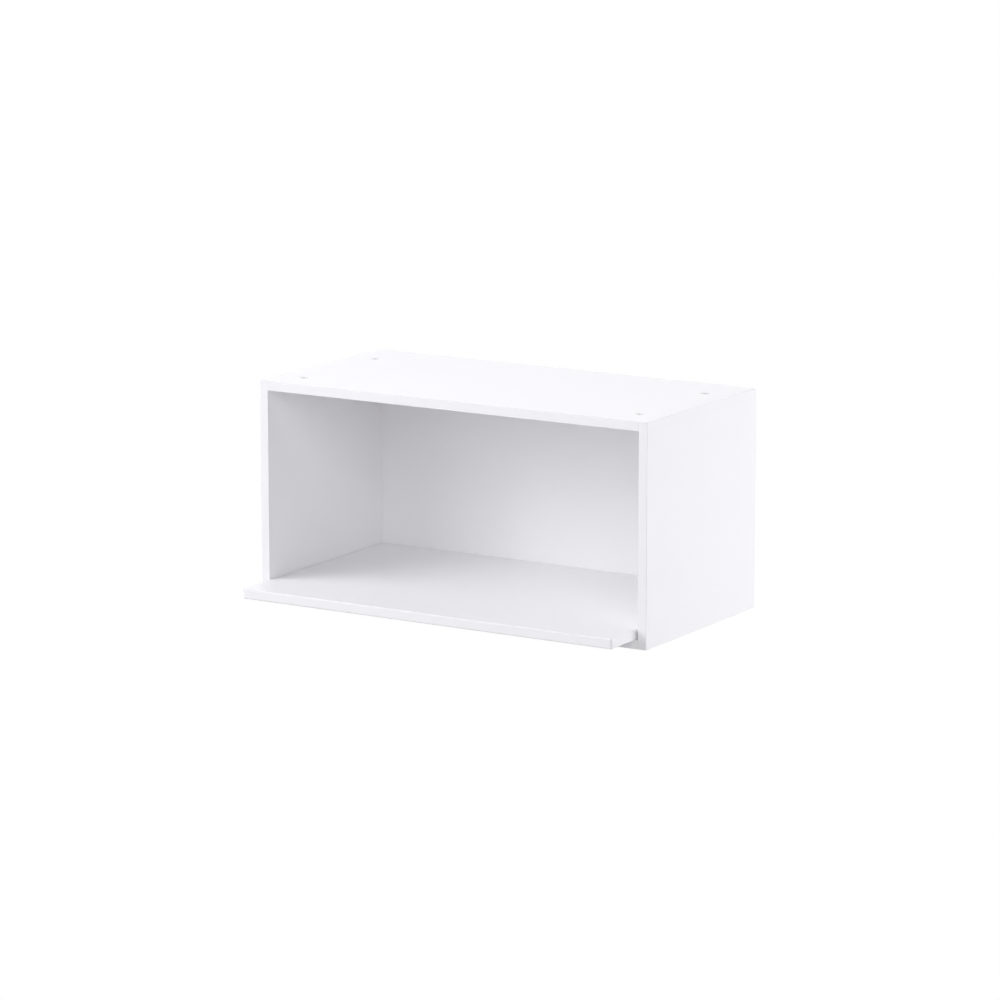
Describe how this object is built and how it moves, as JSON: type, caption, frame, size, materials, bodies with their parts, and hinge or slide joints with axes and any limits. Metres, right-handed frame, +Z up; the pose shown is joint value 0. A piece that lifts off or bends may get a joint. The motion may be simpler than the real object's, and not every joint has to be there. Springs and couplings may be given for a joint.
{
  "type": "microwave wall cabinet",
  "caption": "Open white wall cabinet for a microwave oven, with no door and a deeper shelf on its floor that reaches out in front of the box.",
  "frame": {"origin": "on the plane of the underside, below the middle of the whole cabinet, shelf included", "axes": "+Z up, +X to the cabinet's right as seen from the front, -Y out of the open front, +Y to the wall"},
  "size_m": [0.762, 0.457, 0.381],
  "materials": {
    "faced_board": "satin white melamine film on chipboard",
    "back_board": "satin white film on thin fibreboard",
    "rail_board": "satin white film, cut edges show chipboard",
    "edge_band": "fine satin white edge banding",
    "cam_metal": "bright die-cast zinc",
    "plated_steel": "zinc-plated",
    "beech": "raw beech"
  },
  "bodies": {
    "cabinet": {"right_side_panel": "faced_board", "left_side_panel": "faced_board", "top_panel": "faced_board", "bottom_panel": "faced_board", "microwave_shelf": "faced_board", "back_panel": "back_board", "top_hanging_rail": "rail_board", "bottom_hanging_rail": "rail_board", "shelf_front_band": "edge_band", "shelf_right_band": "edge_band", "shelf_left_band": "edge_band", "right_side_band": "edge_band", "left_side_band": "edge_band", "top_band": "edge_band", "bottom_band": "edge_band", "right_foot_band": "edge_band", "left_foot_band": "edge_band", "right_head_band": "edge_band", "left_head_band": "edge_band", "left_cam_bolts": "plated_steel", "right_cam_bolts": "plated_steel", "shelf_screws": "plated_steel", "top_panel_dowels": "beech", "bottom_panel_dowels": "beech", "top_rail_dowels": "beech", "bottom_rail_dowels": "beech"},
    "top_left_front_cam": {"top_left_front_cam": "cam_metal"},
    "top_left_back_cam": {"top_left_back_cam": "cam_metal"},
    "top_right_front_cam": {"top_right_front_cam": "cam_metal"},
    "top_right_back_cam": {"top_right_back_cam": "cam_metal"},
    "bottom_left_front_cam": {"bottom_left_front_cam": "cam_metal"},
    "bottom_left_back_cam": {"bottom_left_back_cam": "cam_metal"},
    "bottom_right_front_cam": {"bottom_right_front_cam": "cam_metal"},
    "bottom_right_back_cam": {"bottom_right_back_cam": "cam_metal"}
  },
  "joints": [
    {"name": "top_left_front_cam_turn", "type": "hinge", "parent": "cabinet", "child": "top_left_front_cam", "pos_m": [-0.331, -0.0855, 0.373], "axis": [0, 0, 1], "range_deg": [0, 190]},
    {"name": "top_left_back_cam_turn", "type": "hinge", "parent": "cabinet", "child": "top_left_back_cam", "pos_m": [-0.331, 0.1385, 0.373], "axis": [0, 0, 1], "range_deg": [0, 190]},
    {"name": "top_right_front_cam_turn", "type": "hinge", "parent": "cabinet", "child": "top_right_front_cam", "pos_m": [0.331, -0.0855, 0.373], "axis": [0, 0, 1], "range_deg": [0, 190]},
    {"name": "top_right_back_cam_turn", "type": "hinge", "parent": "cabinet", "child": "top_right_back_cam", "pos_m": [0.331, 0.1385, 0.373], "axis": [0, 0, 1], "range_deg": [0, 190]},
    {"name": "bottom_left_front_cam_turn", "type": "hinge", "parent": "cabinet", "child": "bottom_left_front_cam", "pos_m": [-0.331, -0.0855, 0.008], "axis": [0, 0, -1], "range_deg": [0, 190]},
    {"name": "bottom_left_back_cam_turn", "type": "hinge", "parent": "cabinet", "child": "bottom_left_back_cam", "pos_m": [-0.331, 0.1385, 0.008], "axis": [0, 0, -1], "range_deg": [0, 190]},
    {"name": "bottom_right_front_cam_turn", "type": "hinge", "parent": "cabinet", "child": "bottom_right_front_cam", "pos_m": [0.331, -0.0855, 0.008], "axis": [0, 0, -1], "range_deg": [0, 190]},
    {"name": "bottom_right_back_cam_turn", "type": "hinge", "parent": "cabinet", "child": "bottom_right_back_cam", "pos_m": [0.331, 0.1385, 0.008], "axis": [0, 0, -1], "range_deg": [0, 190]}
  ]
}
